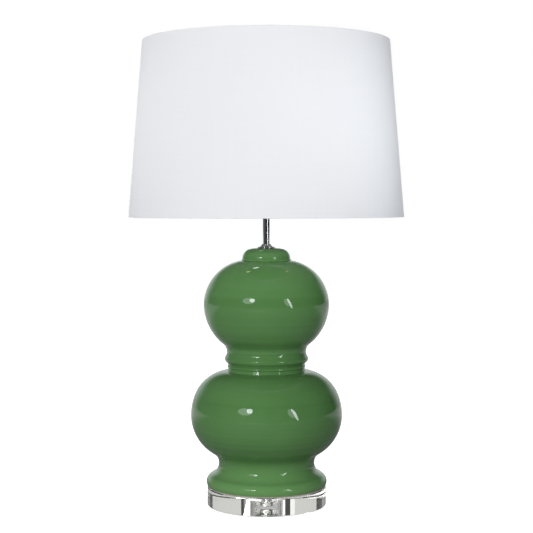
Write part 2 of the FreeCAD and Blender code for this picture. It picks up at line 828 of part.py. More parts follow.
def main():
    """Builds every piece and writes one STEP file for each."""
    base_washer = ring(washer_radius, tube_radius + tube_hole_clearance, washer_z, washer_thickness)
    liner = make_wall(fabric_thickness, liner_thickness)
    pieces = {
        "base_disc": make_base(),
        "base_pads": make_pads(),
        "base_washer": base_washer,
        "spring_washer": make_spring_washer(),
        "base_nut": make_nut(),
        "foot_gasket": make_gasket(),
        "ceramic_body": make_ceramic(),
        "cable_grommet": make_grommet(),
        "lamp_tube": make_tube(),
        "neck_bush": make_bush(),
        "neck_cap": make_neck_cap(),
        "holder_cap": make_holder_cap(),
        "lock_screw": lock_screw_shape(),
        "insulator": make_insulator(),
        "terminal_screws": make_terminal_screws(),
        "holder_shell": make_holder_shell(),
        "screw_shell": make_screw_shell(),
        "centre_contact": make_centre_contact(),
        "switch_blades": make_switch_blades(),
        "switch_bar": make_switch_bar(),
        "switch_sleeve": make_switch_sleeve(),
        "lower_shade_ring": make_lower_ring(),
        "upper_shade_ring": make_upper_ring(),
        "fitter_ring": make_fitter_ring(),
        "top_wire": make_hem_wire(True),
        "bottom_wire": make_hem_wire(False),
        "shade_liner": liner,
        "shade_fabric": make_wall(0.0, fabric_thickness),
        "top_hem": make_hem(True),
        "bottom_hem": make_hem(False),
        "bulb_tip": make_bulb_tip(),
        "bulb_insulator": make_bulb_insulator(),
        "bulb_cap": make_bulb_cap(),
        "bulb_housing": make_bulb_housing(),
        "light_board": make_light_board(),
        "bulb_dome": make_bulb_dome(),
    }
    for number, arm in enumerate(make_fitter_arms(), start=1):
        pieces[f"fitter_arm_{number}"] = arm
    os.makedirs("parts", exist_ok=True)
    for name, shape in pieces.items():
        solids = shape.Solids
        if not solids or not shape.isValid():
            raise RuntimeError(f"{name} isn't a valid solid")
        out = solids[0] if len(solids) == 1 else Part.makeCompound(solids)
        out.exportStep(f"parts/{name}.step")
        print(name, len(solids), round(shape.Volume, 1))


main()
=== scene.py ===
# %% [markdown]
# # A double gourd table lamp
# A glazed ceramic body on a clear round base carries a chrome tube, a lampholder with a globe bulb,
# and a tapered drum shade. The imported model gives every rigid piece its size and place. This script
# gives them their finish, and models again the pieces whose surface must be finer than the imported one.

# %% The frame
import json
import math

import bpy
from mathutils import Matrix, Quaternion, Vector


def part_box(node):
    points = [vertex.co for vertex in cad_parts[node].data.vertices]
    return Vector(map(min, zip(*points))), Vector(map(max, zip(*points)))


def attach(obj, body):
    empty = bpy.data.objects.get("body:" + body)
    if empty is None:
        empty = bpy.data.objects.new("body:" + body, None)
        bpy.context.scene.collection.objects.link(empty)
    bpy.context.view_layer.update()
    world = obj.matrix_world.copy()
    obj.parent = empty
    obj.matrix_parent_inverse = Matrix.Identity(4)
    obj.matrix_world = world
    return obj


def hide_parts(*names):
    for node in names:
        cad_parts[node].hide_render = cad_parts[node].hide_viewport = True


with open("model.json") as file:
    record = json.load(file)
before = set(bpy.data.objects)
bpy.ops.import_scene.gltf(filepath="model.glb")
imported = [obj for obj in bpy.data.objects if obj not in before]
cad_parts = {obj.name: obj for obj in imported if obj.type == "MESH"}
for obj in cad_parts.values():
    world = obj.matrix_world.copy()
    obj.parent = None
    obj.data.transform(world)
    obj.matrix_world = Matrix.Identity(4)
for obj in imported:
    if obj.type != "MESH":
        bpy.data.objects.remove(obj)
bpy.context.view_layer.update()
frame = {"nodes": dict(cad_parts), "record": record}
nodes = frame["nodes"]
bpy.ops.object.select_all(action="DESELECT")

# %% [markdown]
# ## Camera
# The focal length and the place were worked out from the outlines of the shade, the body and the base:
# a long lens, nearly two metres away, a little above the middle and tipped down.

# %% Camera
SENSOR_MM = 36
FOCAL_PIXELS = 1298.66
FRAME_PIXELS = 533
CAMERA_PLACE = (0.00035, -1.8963, 0.44187)
CAMERA_DOWN = 0.048
CAMERA_ROLL = 0.0013

camera_data = bpy.data.cameras.new("camera")
camera_data.sensor_width = SENSOR_MM
camera_data.lens = camera_data.sensor_width * FOCAL_PIXELS / FRAME_PIXELS
camera = bpy.data.objects.new("camera", camera_data)
camera.location = CAMERA_PLACE
camera.rotation_euler = (math.pi / 2 - CAMERA_DOWN, CAMERA_ROLL, 0)
bpy.context.scene.collection.objects.link(camera)
bpy.context.scene.camera = camera
bpy.context.scene.view_settings.view_transform = "Standard"
print("camera lens", round(camera_data.lens, 2), "mm")

# %% [markdown]
# ## Node trees
# The finishes, the effects that they share, the floor and the room are all node trees. Each could be
# clicked together in the shader editor, or written out node by node and link by link. `Tree` adds a node
# and its links in one call, so that a finish reads below as a short list.


# %% Node trees
class Tree:
    """A node tree. Inputs are given by name or number, each as a socket to link or as a plain value."""

    def __init__(self, tree):
        self.tree = tree

    def node(self, kind, inputs=None, **settings):
        made = self.tree.nodes.new("ShaderNode" + kind)
        for label, value in settings.items():
            setattr(made, label, value)
        for label, value in (inputs or {}).items():
            if isinstance(value, bpy.types.NodeSocket):
                self.tree.links.new(value, made.inputs[label])
            else:
                made.inputs[label].default_value = value
        return made

    def math(self, operation, *values):
        return self.node("Math", dict(enumerate(values)), operation=operation).outputs[0]

    def split(self, vector):
        """The X, Y and Z of a vector."""
        return self.node("SeparateXYZ", {0: vector}).outputs

    def blend(self, factor, first, second):
        """Mixes two values."""
        return self.node("Mix", {0: factor, 2: first, 3: second}).outputs[0]

    def mix(self, factor, *colours):
        """Mixes two colours."""
        first, second = (tone if isinstance(tone, bpy.types.NodeSocket) else (*tone, 1) for tone in colours)
        return self.node("Mix", {0: factor, 6: first, 7: second}, data_type="RGBA").outputs[2]

    def ramp(self, factor, *stops, mode="LINEAR"):
        """A colour ramp through (position, colour) stops."""
        made = self.node("ValToRGB", {"Fac": factor})
        made.color_ramp.interpolation = mode
        marks = made.color_ramp.elements
        marks[0].position, marks[0].color = stops[0][0], (*stops[0][1], 1)
        marks[1].position, marks[1].color = stops[-1][0], (*stops[-1][1], 1)
        for position, colour in stops[1:-1]:
            marks.new(position).color = (*colour, 1)
        return made.outputs["Color"]

    def map(self, value, start, end, low=0.0, high=1.0, **settings):
        """A value's way from start to end, as a number from low to high."""
        stops = {"Value": value, "From Min": start, "From Max": end, "To Min": low, "To Max": high}
        return self.node("MapRange", stops, **settings).outputs["Result"]

    def spread(self, value, low, high):
        """A value from 0 to 1 spread between two numbers."""
        return self.map(value, 0.0, 1.0, low, high)


print("helper for node trees ready")

# %% [markdown]
# ## Effects and finishes
# An `Effect` is a node group, built once and placed in several finishes, each time with its own values.
# A `Finish` is a material round one Principled shader. The shader could be in the group too, but an
# export reads it only in the material itself.


# %% Effects and finishes
class Effect(Tree):
    """A node group with a vector input, float inputs with their usual values, and float outputs."""

    def __init__(self, name, *outputs, **inputs):
        super().__init__(bpy.data.node_groups.new(name, "ShaderNodeTree"))
        sockets = self.tree.interface
        sockets.new_socket(name="Vector", in_out="INPUT", socket_type="NodeSocketVector")
        for label, value in inputs.items():
            label = label.replace("_", " ")
            made = sockets.new_socket(name=label, in_out="INPUT", socket_type="NodeSocketFloat")
            made.default_value = value
        for label in outputs:
            sockets.new_socket(name=label, in_out="OUTPUT", socket_type="NodeSocketFloat")
        self.given = self.tree.nodes.new("NodeGroupInput").outputs
        self.result = self.tree.nodes.new("NodeGroupOutput").inputs

    def put(self, label, socket):
        self.tree.links.new(socket, self.result[label])
        return self


class Finish(Tree):
    """A material with one Principled shader; plain numbers go on the shader's own sockets."""

    def __init__(self, name, **sockets):
        self.material = bpy.data.materials.new(name)
        self.material.use_nodes = True
        super().__init__(self.material.node_tree)
        self.shader = self.tree.nodes["Principled BSDF"]
        for label, value in sockets.items():
            self.shader.inputs[label.replace("_", " ")].default_value = value

    def effect(self, effect, **inputs):
        """A shared effect, placed with this finish's own values."""
        named = {label.replace("_", " "): value for label, value in inputs.items()}
        return self.node("Group", named, node_tree=effect.tree).outputs

    def place(self):
        """The object's own coordinates."""
        return self.node("TexCoord").outputs["Object"]

    def feed(self, label, socket):
        """Links a socket to the shader."""
        self.tree.links.new(socket, self.shader.inputs[label])
        return self

    def paint(self, factor, tones, start=0.3, end=0.7):
        """Feeds a colour that runs from one tone to another."""
        return self.feed("Base Color", self.ramp(factor, (start, tones[0]), (end, tones[1])))

    def bump(self, height, distance, strength=1.0):
        """Feeds a height map to the shader's normal."""
        made = self.node("Bump", {"Height": height, "Distance": distance, "Strength": strength})
        return self.feed("Normal", made.outputs["Normal"])


print("helpers for effects and finishes ready")

# %% [markdown]
# ## The room
# Glaze, chrome and the clear base show the room: a pale wall behind the lamp, a dark front, and grey
# sides. A picture of a room could light them, but a few ramps give the same marks, and each can be moved
# by its number. A mirror ray reads the room by its bearing. A ray through the base reads a few narrow
# dark and white upright things behind the lamp, which the base bends into bars. All other rays find a
# soft light, stronger from the left, and the camera sees white.

# %% Room
BLACK, WHITE = (0, 0, 0), (1, 1, 1)
# from the picture's left, at 0, to its right, at 1
SOFT_LIGHT = ((0.1, (0.29, 0.294, 0.30)), (0.9, (0.10, 0.103, 0.108)))
ROOM_FRONT = (0.03, 0.03, 0.04)
ROOM_SIDES = ((0.18, (0.10, 0.105, 0.11)), (0.33, ROOM_FRONT),
              (0.79, ROOM_FRONT), (0.90, (0.03, 0.032, 0.036)))
# the wall that mirrors show begins where a ray points far enough back, and ends where it points too high
WALL_BEHIND = (0.76, 0.82, 0.81)
WALL_EDGE, WALL_TOP = ((0.62, BLACK), (0.86, WHITE)), ((0.22, WHITE), (0.40, BLACK))
THROUGH_GREY, THROUGH_WHITE, THROUGH_DARK, THROUGH_SIDE, THROUGH_SHADE = 0.66, 1.0, 0.06, 0.42, 0.35
# bearings from straight behind, in degrees to the lamp's right, of what the clear base bends into bars
THROUGH_BARS = ((-90, THROUGH_SIDE), (-61, THROUGH_DARK), (-45, THROUGH_GREY), (-19, THROUGH_WHITE),
                (-15.5, THROUGH_DARK), (-12.5, THROUGH_GREY), (-6.6, THROUGH_WHITE), (-5.2, THROUGH_GREY),
                (4.4, THROUGH_WHITE), (5.8, THROUGH_GREY), (10.4, THROUGH_WHITE), (13.2, THROUGH_SHADE),
                (14.6, THROUGH_DARK), (16.5, THROUGH_GREY), (55, THROUGH_DARK), (68, THROUGH_SIDE))
BAR_TINT = (1.0, 1.003, 0.96)


def make_world():
    world = bpy.data.worlds.new("room")
    world.use_nodes = True
    bpy.context.scene.world = world
    room = Tree(world.node_tree)
    room.tree.nodes.clear()
    ray = room.node("LightPath").outputs
    way = room.split(room.node("TexCoord").outputs["Generated"])
    across, along = way["X"], way["Y"]
    level = room.math("SQRT", room.math("ADD", room.math("MULTIPLY", across, across),
                                        room.math("MULTIPLY", along, along)))
    side = room.math("MULTIPLY_ADD", room.math("DIVIDE", across, level), 0.5, 0.5)
    soft = room.ramp(side, *SOFT_LIGHT)
    front = room.ramp(side, *ROOM_SIDES)
    inwards = room.ramp(room.math("DIVIDE", along, level), *WALL_EDGE)
    downwards = room.ramp(way["Z"], *WALL_TOP)
    mirrored = room.mix(room.math("MULTIPLY", inwards, downwards), front, WALL_BEHIND)
    bearing = room.math("ARCTAN2", across, room.math("ABSOLUTE", along))
    share = room.math("ADD", room.math("DIVIDE", bearing, math.pi), 0.5)
    bars = room.ramp(share, *(((angle + 90) / 180, tuple(tone * part for part in BAR_TINT))
                              for angle, tone in THROUGH_BARS), mode="CONSTANT")
    seen = room.mix(ray["Is Glossy Ray"], soft, mirrored)
    seen = room.mix(ray["Is Transmission Ray"], seen, bars)
    seen = room.mix(ray["Is Camera Ray"], seen, WHITE)
    background = room.node("Background", {"Color": seen})
    room.node("OutputWorld", {"Surface": background.outputs[0]})


make_world()
print("room made with", len(THROUGH_BARS), "stretches behind the base")

# %% [markdown]
# ## The floor
# The lamp stands on a wide pale floor, which the camera sees white but for the lamp's shadow. A shadow
# catcher would need its white put in behind the picture afterwards. So the floor is a plain plane, and
# its glow depends on who looks: the camera, a mirror, or a ray through the clear base.

# %% Floor
FLOOR_SIZE = 30
FLOOR_LIT, FLOOR_SEEN = (0.28, 0.28, 0.28), (0.62, 0.62, 0.62)
FLOOR_GLOW, FLOOR_THROUGH, FLOOR_MIRRORED, FLOOR_FAR = 0.90, 0.45, 0.50, (0.25, 0.80)


def make_floor():
    """A wide pale floor, clear from below. In mirrors only its far part glows."""
    bpy.ops.object.select_all(action="DESELECT")
    bpy.ops.mesh.primitive_plane_add(size=FLOOR_SIZE)
    floor = bpy.context.active_object
    floor.name = "floor"
    finish = Finish("pale floor", Roughness=0.9, Specular_IOR_Level=0.0, Emission_Color=(1, 1, 1, 1))
    ray = finish.node("LightPath").outputs
    spot = finish.node("NewGeometry").outputs
    finish.feed("Base Color", finish.mix(ray["Is Camera Ray"], FLOOR_LIT, FLOOR_SEEN))
    far = finish.map(finish.split(spot["Position"])["Y"], *FLOOR_FAR, 0.0, FLOOR_MIRRORED)
    through = finish.math("MULTIPLY", ray["Is Transmission Ray"], FLOOR_THROUGH)
    mirrored = finish.math("MULTIPLY_ADD", ray["Is Glossy Ray"], far, through)
    finish.feed("Emission Strength", finish.math("MULTIPLY_ADD", ray["Is Camera Ray"], FLOOR_GLOW, mirrored))
    clear = finish.node("BsdfTransparent").outputs[0]
    face = finish.node("MixShader", {0: spot["Backfacing"], 1: finish.shader.outputs[0], 2: clear})
    finish.tree.links.new(face.outputs[0], finish.tree.nodes["Material Output"].inputs["Surface"])
    floor.data.materials.append(finish.material)


make_floor()
print("floor made,", FLOOR_SIZE, "m wide")

# %% [markdown]
# ## Light
# Two windows in front of the lamp show in its glaze, a broad one to the left of the camera and a narrow
# one to the right. Each could be one even panel, but daylight through a curtain has a bright heart and a
# dim rim, so each is two lights. Four small lights near the ceiling give the small marks on the crown and
# the foot. The fills don't show in mirrors: a large soft one stands in front, one behind, one above, and
# one at each side is boxed in, so that it reaches only the shade.

# %% Light
LAMP_MIDDLE, SHADE_MIDDLE = Vector((0, 0, 0.30)), Vector((0, 0, 0.56))
DAYLIGHT, LAMPLIGHT, FILL_LIGHT = (0.95, 0.98, 1.0), (1.0, 0.82, 0.30), (1.0, 0.995, 0.985)


def make_light(name, bearing, elevation, distance, width, height, radiance, colour=DAYLIGHT,
               spread=180, roll=0, target=LAMP_MIDDLE, mirrored=True):
    """An area light that faces the lamp; bearing counts from the camera's side, positive to the right."""
    light = bpy.data.lights.new(name, "AREA")
    light.shape = "ELLIPSE"
    light.size, light.size_y = width, height
    light.energy = radiance * math.pi * width * height
    light.color = colour
    light.spread = math.radians(spread)
    lamp = bpy.data.objects.new(name, light)
    turn, rise = math.radians(bearing), math.radians(elevation)
    way = Vector((math.sin(turn) * math.cos(rise), -math.cos(turn) * math.cos(rise), math.sin(rise)))
    lamp.location = target + way * distance
    lamp.rotation_euler = (way.to_track_quat("Z", "Y") @ Quaternion((0, 0, 1), math.radians(roll))).to_euler()
    lamp.visible_glossy = mirrored
    bpy.context.scene.collection.objects.link(lamp)


make_light("left_window", -26, 17, 2.4, 0.40, 0.40, 9.5)
make_light("left_window_rim", -33, 15, 2.5, 0.95, 0.62, 2.2)
make_light("right_window", 43, 8.5, 2.4, 0.19, 1.05, 7.5, roll=17)
make_light("right_window_rim", 38, 11, 2.5, 0.46, 0.80, 1.8, roll=17)
make_light("ceiling_warm_left", -129, 66, 2.2, 0.20, 0.16, 3.5, LAMPLIGHT)
make_light("ceiling_warm_right", 130, 62, 2.2, 0.20, 0.14, 3.0, LAMPLIGHT)
make_light("ceiling_left", -162, 62, 2.2, 0.24, 0.16, 7.0)
make_light("ceiling_right", 162, 56, 2.2, 0.34, 0.14, 6.0)
make_light("front_fill", -16, 10, 3.0, 1.9, 1.5, 4.9, FILL_LIGHT, mirrored=False)
make_light("back_fill", 176, 20, 3.0, 1.9, 1.5, 5.6, mirrored=False)
make_light("top_fill", 180, 80, 2.6, 1.5, 1.5, 1.3, mirrored=False)
for name, bearing, radiance in (("shade_light_left", -92, 0.66), ("shade_light_right", 60, 0.90)):
    make_light(name, bearing, 0, 1.6, 0.20, 0.32, radiance, spread=20, target=SHADE_MIDDLE, mirrored=False)
print("lights:", len(bpy.data.lights))

# %% [markdown]
# ## Shared effects
# *Mottle* is the unevenness of any made surface: a slow drift of tone, a fine grain on top, and a height
# for bumps. *Turned lines* are the fine rings that a lathe or a drill leaves round an axis. Most finishes
# use one or both. *Plain weave* is cloth, one thread over and one under, with threads that swell and thin.
# Each could be written again in every material, but as a group it is built once and mended once.


# %% Shared effects
def make_mottle():
    effect = Effect("mottle", "Tone", "Height", Drift_Scale=12.0, Grain_Scale=900.0, Grain_Share=0.3)
    given = effect.given
    noises = [effect.node("TexNoise", {"Vector": given["Vector"], "Scale": given[scale], "Detail": detail})
              for scale, detail in (("Drift Scale", 3.0), ("Grain Scale", 2.0))]
    drift, grain = (noise.outputs["Fac"] for noise in noises)
    return effect.put("Tone", effect.blend(given["Grain Share"], drift, grain)).put("Height", grain)


def make_plain_weave():
    effect = Effect("plain weave", "Tone", "Height", Threads_per_Metre=1700.0, Slub=0.5)
    given, calc = effect.given, effect.math
    threads = effect.node("VectorMath", {0: given["Vector"], "Scale": given["Threads per Metre"]},
                          operation="SCALE")
    ways = effect.split(threads.outputs[0])[:2]
    over = calc("PINGPONG", calc("ADD", *(calc("FLOOR", way) for way in ways)), 1.0)
    swell = [calc("ABSOLUTE", calc("SINE", calc("MULTIPLY", way, math.pi)))
             for way in ways]
    crowns = [calc("MULTIPLY", calc("POWER", own, 0.6), calc("MULTIPLY_ADD", other, 0.5, 0.5))
              for own, other in (swell, swell[::-1])]
    cloth = effect.blend(over, *crowns)
    streaks = []
    for stretch in ((1.0, 0.02, 1.0), (0.02, 1.0, 1.0)):
        stretched = effect.node("Mapping", {"Vector": threads.outputs[0], "Scale": stretch}).outputs[0]
        noise = effect.node("TexNoise", {"Vector": stretched, "Scale": 0.35, "Detail": 2.0})
        streaks.append(noise.outputs["Fac"])
    slub = calc("MULTIPLY", calc("ADD", *streaks), 0.5)
    effect.put("Height", calc("ADD", cloth, slub))
    return effect.put("Tone", effect.blend(given["Slub"], cloth, slub))


def make_turned_lines():
    effect = Effect("turned lines", "Tone", Lines_per_Metre=3000.0)
    place = effect.split(effect.given["Vector"])
    squares = [effect.math("MULTIPLY", place[way], place[way]) for way in "XY"]
    path = effect.math("ADD", effect.math("SQRT", effect.math("ADD", *squares)), place["Z"])
    noise = effect.node("TexNoise", {"Detail": 3.0}, noise_dimensions="1D")
    effect.tree.links.new(path, noise.inputs["W"])
    effect.tree.links.new(effect.given["Lines per Metre"], noise.inputs["Scale"])
    return effect.put("Tone", noise.outputs["Fac"])


MOTTLE = make_mottle()
PLAIN_WEAVE = make_plain_weave()
TURNED_LINES = make_turned_lines()
print("shared effects:", [group.name for group in bpy.data.node_groups])

# %% [markdown]
# ## Outlines
# The body, the base, the neck cap, the tube and the hems are all round about one axis, as if turned on a
# lathe, and each begins as a half section. A curve drawn by eye would do for a sketch. Real sections are
# straight stretches and arcs of real radii, so an `Outline` has just these.

# %% Outlines
ARC_STEP = math.radians(3)


class Outline:
    """A half section as points (radius, height); an arc is stepped finely enough to reflect cleanly."""

    def __init__(self, radius, z):
        self.points = [(radius, z)]

    def line(self, radius, z, parts=1):
        last = self.points[-1]
        for part in range(1, parts + 1):
            share = part / parts
            self.points.append((last[0] + (radius - last[0]) * share, last[1] + (z - last[1]) * share))
        return self

    def arc(self, centre, radius, z, longest=0.002):
        """The short way round a centre to a point, in steps no longer than `longest`."""
        at = self.points[-1]
        first = math.atan2(at[1] - centre[1], at[0] - centre[0])
        last = math.atan2(z - centre[1], radius - centre[0])
        turn = (last - first + math.pi) % (2 * math.pi) - math.pi
        curve = math.dist(at, centre)
        steps = max(2, math.ceil(abs(turn) / min(ARC_STEP, longest / curve)))
        for step in range(1, steps):
            angle = first + turn * step / steps
            self.points.append((centre[0] + curve * math.cos(angle), centre[1] + curve * math.sin(angle)))
        self.points.append((radius, z))
        return self

    def close(self):
        return self.line(*self.points[0])


print("helper for outlines ready")

# %% [markdown]
# ## Turning
# A screw modifier could turn a half section, but a spin in edit mode is what a modeller would do by hand.
# One vertex is drawn out point by point along the section, then spun about Z. A spin can leave its
# surface inside out, so the faces are turned outwards once the doubles are merged.

# %% Turning
TURN_STEPS = 168
SEED_SIZE, MERGE = 0.001, 1e-6
SMOOTH_ANGLE = math.radians(30)


def select_only(piece):
    """Makes a piece the one that the next operators work on."""
    bpy.ops.object.select_all(action="DESELECT")
    piece.select_set(True)
    bpy.context.view_layer.objects.active = piece


def draw_section(name, points, bearing=0.0):
    """A mesh of one line: a plane merged to a vertex, then drawn from point to point."""
    across, along = math.cos(bearing), math.sin(bearing)
    bpy.ops.object.select_all(action="DESELECT")
    bpy.ops.mesh.primitive_plane_add(size=SEED_SIZE)
    piece = bpy.context.active_object
    piece.name = piece.data.name = name
    bpy.ops.object.mode_set(mode="EDIT")
    bpy.ops.mesh.select_all(action="SELECT")
    bpy.ops.mesh.merge(type="CENTER")
    bpy.ops.transform.translate(value=(points[0][0] * across, points[0][0] * along, points[0][1]))
    for last, point in zip(points, points[1:]):
        reach = point[0] - last[0]
        step = (reach * across, reach * along, point[1] - last[1])
        bpy.ops.mesh.extrude_vertices_move(TRANSFORM_OT_translate={"value": step})
    return piece


def finish_mesh(piece):
    """Merges doubles, turns the faces outwards and smooths all but the sharp edges."""
    select_only(piece)
    bpy.ops.object.mode_set(mode="EDIT")
    bpy.ops.mesh.select_all(action="SELECT")
    bpy.ops.mesh.remove_doubles(threshold=MERGE)
    bpy.ops.mesh.normals_make_consistent(inside=False)
    bpy.ops.object.mode_set(mode="OBJECT")
    bpy.ops.object.shade_smooth_by_angle(angle=SMOOTH_ANGLE)
    return piece


def turned(name, outline, steps=TURN_STEPS):
    """A closed half section spun about the lamp's axis."""
    piece = draw_section(name, outline.close().points)
    bpy.ops.mesh.select_all(action="SELECT")
    bpy.ops.mesh.spin(steps=steps, angle=2 * math.pi, center=(0, 0, 0), axis=(0, 0, 1))
    bpy.ops.object.mode_set(mode="OBJECT")
    return finish_mesh(piece)


print("helpers for turned pieces ready")

# %% [markdown]
# ## Taking a imported node's place
# A new piece stands where a imported node stood, takes the finish that it is given and moves with the
# node's body. The body could be typed in for each piece, but the frame knows it, so it is looked up there.


# %% Taking a imported node's place
def stands_for(piece, finish, *replaced):
    """Gives a new piece its finish, and its body from the nodes that it replaces."""
    piece.data.materials.clear()
    piece.data.materials.append(finish.material)
    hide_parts(*replaced)
    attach(piece, next(body for body, members in frame["record"]["behaviour"]["bodies"].items()
                        if replaced[0] in members))
    print(piece.name, "stands for", ", ".join(replaced), "with", len(piece.data.polygons), "faces")
    return piece


print("helper for packed nodes ready")

# %% [markdown]
# ## The green glaze
# The glaze is opaque green glass on pale clay. One glossy green would look like plastic, so a clear coat
# lies over a softer colour, which drifts a little, mostly in the rings that the turning leaves. Towards the
# foot the colour is painted paler: painted light, in place of light falling from above on the foot's flare.
# The coat is a little orange-peeled, so that reflections wander. The lowest millimetre and a half of the
# foot is wiped clean before the firing, and the clay shows there.

# %% Green glaze
FOOT_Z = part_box("ceramic_body")[0].z
CLAY_LINE, CLAY_FADE = FOOT_Z + 0.0016, 0.0003
# where the painted light on the foot begins, and its paler colour
PAINTED_LIGHT_TOP = FOOT_Z + 0.062
GLAZE_TONES = ((0.32, (0.082, 0.203, 0.060)), (0.50, (0.096, 0.230, 0.072)), (0.68, (0.109, 0.252, 0.085)))
GLAZE_FOOT_PAINTED_LIGHT, CLAY = (0.154, 0.338, 0.115), (0.52, 0.47, 0.38)
GLAZE_ROUGHNESS, CLAY_ROUGHNESS = 0.24, 0.85


def make_green_glaze():
    finish = Finish("green glaze", IOR=1.5, Specular_IOR_Level=0.0, Coat_Weight=1.0, Coat_Roughness=0.03,
                    Coat_IOR=1.5)
    place = finish.place()
    mottle = finish.effect(MOTTLE, Vector=place, Drift_Scale=14.0, Grain_Scale=700.0, Grain_Share=0.25)
    rings = finish.effect(TURNED_LINES, Vector=place, Lines_per_Metre=85.0)
    drift = finish.blend(0.4, mottle["Tone"], rings["Tone"])
    tone = finish.ramp(drift, *GLAZE_TONES)
    height = finish.split(place)["Z"]
    glazed = finish.map(height, CLAY_LINE - CLAY_FADE, CLAY_LINE + CLAY_FADE)
    # painted light: the colour turns paler towards the foot, in place of light falling on its flare
    painted_light = finish.map(height, PAINTED_LIGHT_TOP, FOOT_Z, interpolation_type="SMOOTHSTEP")
    finish.feed("Base Color", finish.mix(glazed, CLAY, finish.mix(painted_light, tone, GLAZE_FOOT_PAINTED_LIGHT)))
    finish.feed("Roughness", finish.spread(glazed, CLAY_ROUGHNESS, GLAZE_ROUGHNESS))
    finish.feed("Coat Weight", glazed)
    peel = finish.effect(MOTTLE, Vector=place, Drift_Scale=60.0, Grain_Scale=240.0, Grain_Share=0.15)
    return finish.bump(peel["Tone"], 0.00012, 0.35)


GREEN_GLAZE = make_green_glaze()
print("green glaze:", len(GREEN_GLAZE.tree.nodes), "nodes")

# %% [markdown]
# ## The ceramic body
# The body is slip-cast, hollow, and everywhere about 6 mm thick. From the foot up its outline is a
# rounded foot, an S into the lower gourd, two beads at the waist, an S into the upper gourd, and a
# short collar. A line drawn by eye, point by point, would waver in the reflections. So each curve is an
# arc of the real radius, and neighbours share a tangent where they meet.

# %% Sizes of the body
WALL = 0.006
FOOT_RADIUS, FOOT_ROUND, FOOT_WIDEST, FOOT_RING = 0.0882, 0.0117, 0.0073, 0.012
ANKLE_RADIUS, ANKLE_HEIGHT, ANKLE_CURVE = 0.0701, 0.0342, 0.0182
LOWER_RADIUS, LOWER_HEIGHT = 0.1110, 0.1053
SHOULDER_CURVE, SHOULDER_TURN, LOWER_TOP_CURVE = 0.0784, math.radians(23.2), 0.0557
WAIST_RADIUS, WAIST_RISE, WAIST_CURVE = 0.0586, 0.0112, 0.0132
SMALL_BEAD_INSET, SMALL_BEAD_CURVE, SMALL_BEAD_RISE = 0.0012, 0.0026, 0.0068
LARGE_BEAD_PROUD, LARGE_BEAD_CURVE, LARGE_BEAD_RISE = 0.0028, 0.0054, 0.0108
UPPER_RADIUS, UPPER_RISE, CROWN_CURVE = 0.0915, 0.0677, 0.0660
COLLAR_FOOT, COLLAR_RADIUS, COLLAR_HEIGHT = 0.0366, 0.0350, 0.0181
COLLAR_FLAT, COLLAR_DOME, COLLAR_ROUND, COLLAR_INSIDE = 0.0130, 0.0450, 0.0140, 0.0284
NECK_HOLE, RIM_ROUND = 0.0080, 0.0012
CORD_HOLE, CORD_HOLE_STEPS = 0.0050, 64
GROOVE_TURN, BEAD_TURN = math.radians(60), math.radians(70)
BEAD_STEP, INSIDE_STEP = 0.0006, 0.006


def on_circle(centre, radius, angle):
    """The point of a circle at an angle."""
    return centre[0] + radius * math.cos(angle), centre[1] + radius * math.sin(angle)


def touch(centre_a, radius_a, centre_b, radius_b):
    """Where two circles touch from outside."""
    share = radius_a / (radius_a + radius_b)
    return tuple(a + (b - a) * share for a, b in zip(centre_a, centre_b))


def facing_curve(width, height, other):
    """Radius of the curve that makes an S of this width and height with another."""
    return (width ** 2 + height ** 2) / (2 * width) - other


def height_on(centre, curve, radius, way=1):
    """How high a circle stands at this radius from the lamp's axis, on its upper or lower side."""
    return centre[1] + way * math.sqrt(curve ** 2 - (radius - centre[0]) ** 2)


print("gourds:", 2 * LOWER_RADIUS, "and", 2 * UPPER_RADIUS, "m wide")

# %% [markdown]
# ## Outline of the body
# Fixed places for the arcs' centres would leave kinks as soon as one radius changed. So each centre
# follows from the arc below it. The inside repeats the same arcs, a wall's thickness further in.


